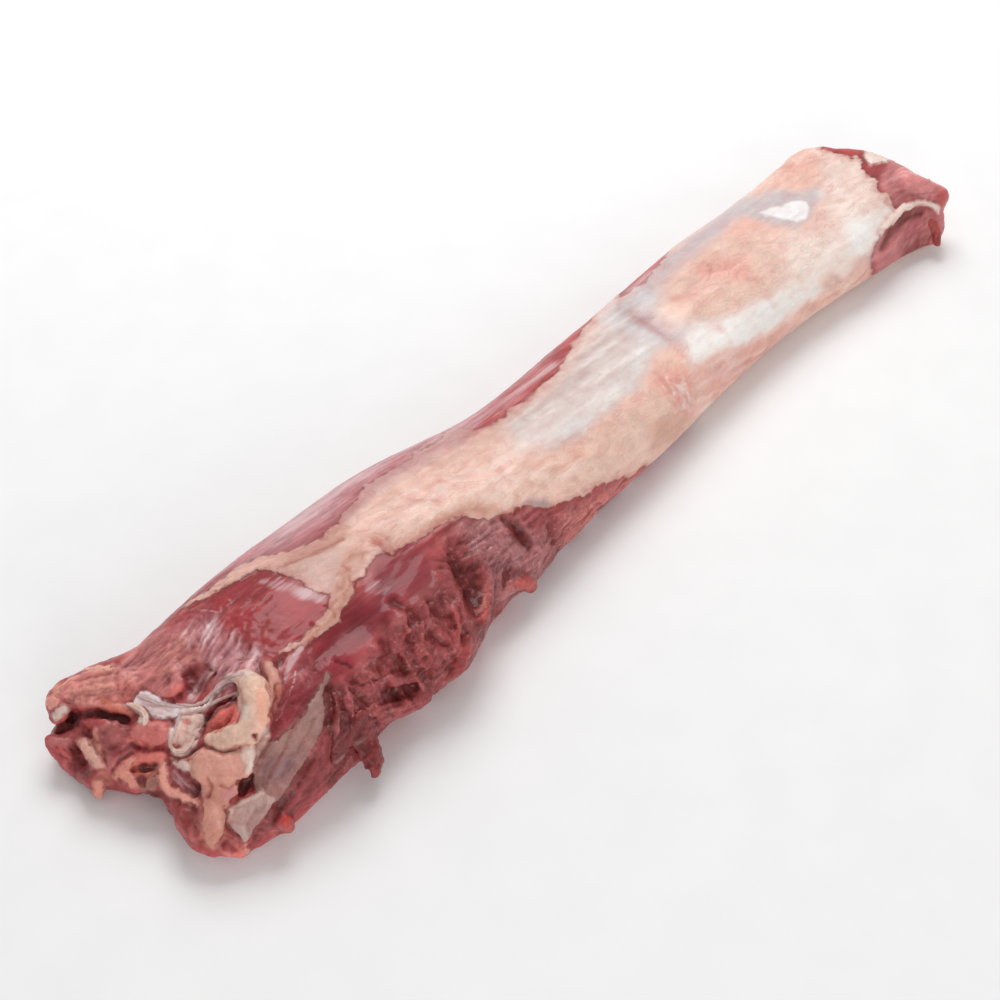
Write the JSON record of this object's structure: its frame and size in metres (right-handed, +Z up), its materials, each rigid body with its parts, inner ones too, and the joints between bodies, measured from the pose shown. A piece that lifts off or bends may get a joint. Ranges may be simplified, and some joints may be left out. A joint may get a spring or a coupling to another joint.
{
  "type": "raw wild boar ribeye",
  "caption": "Whole raw boneless wild boar ribeye: a long low slab of red meat with a pale fat and silverskin cap, ragged at the blade end and along one flank.",
  "frame": {"origin": "centre of the bounding box's underside, on the surface the meat lies on", "axes": "+X along the loin from the ragged blade end to the clean rump end, +Y towards the chine side, away from the torn flank, +Z up through the fat cap"},
  "size_m": [0.6486, 0.1488, 0.0639],
  "materials": {
    "meat": "moist raw meat, with matt pale fat and satin silverskin on top"
  },
  "bodies": {
    "root": {"ribeye": "meat"}
  },
  "joints": []
}
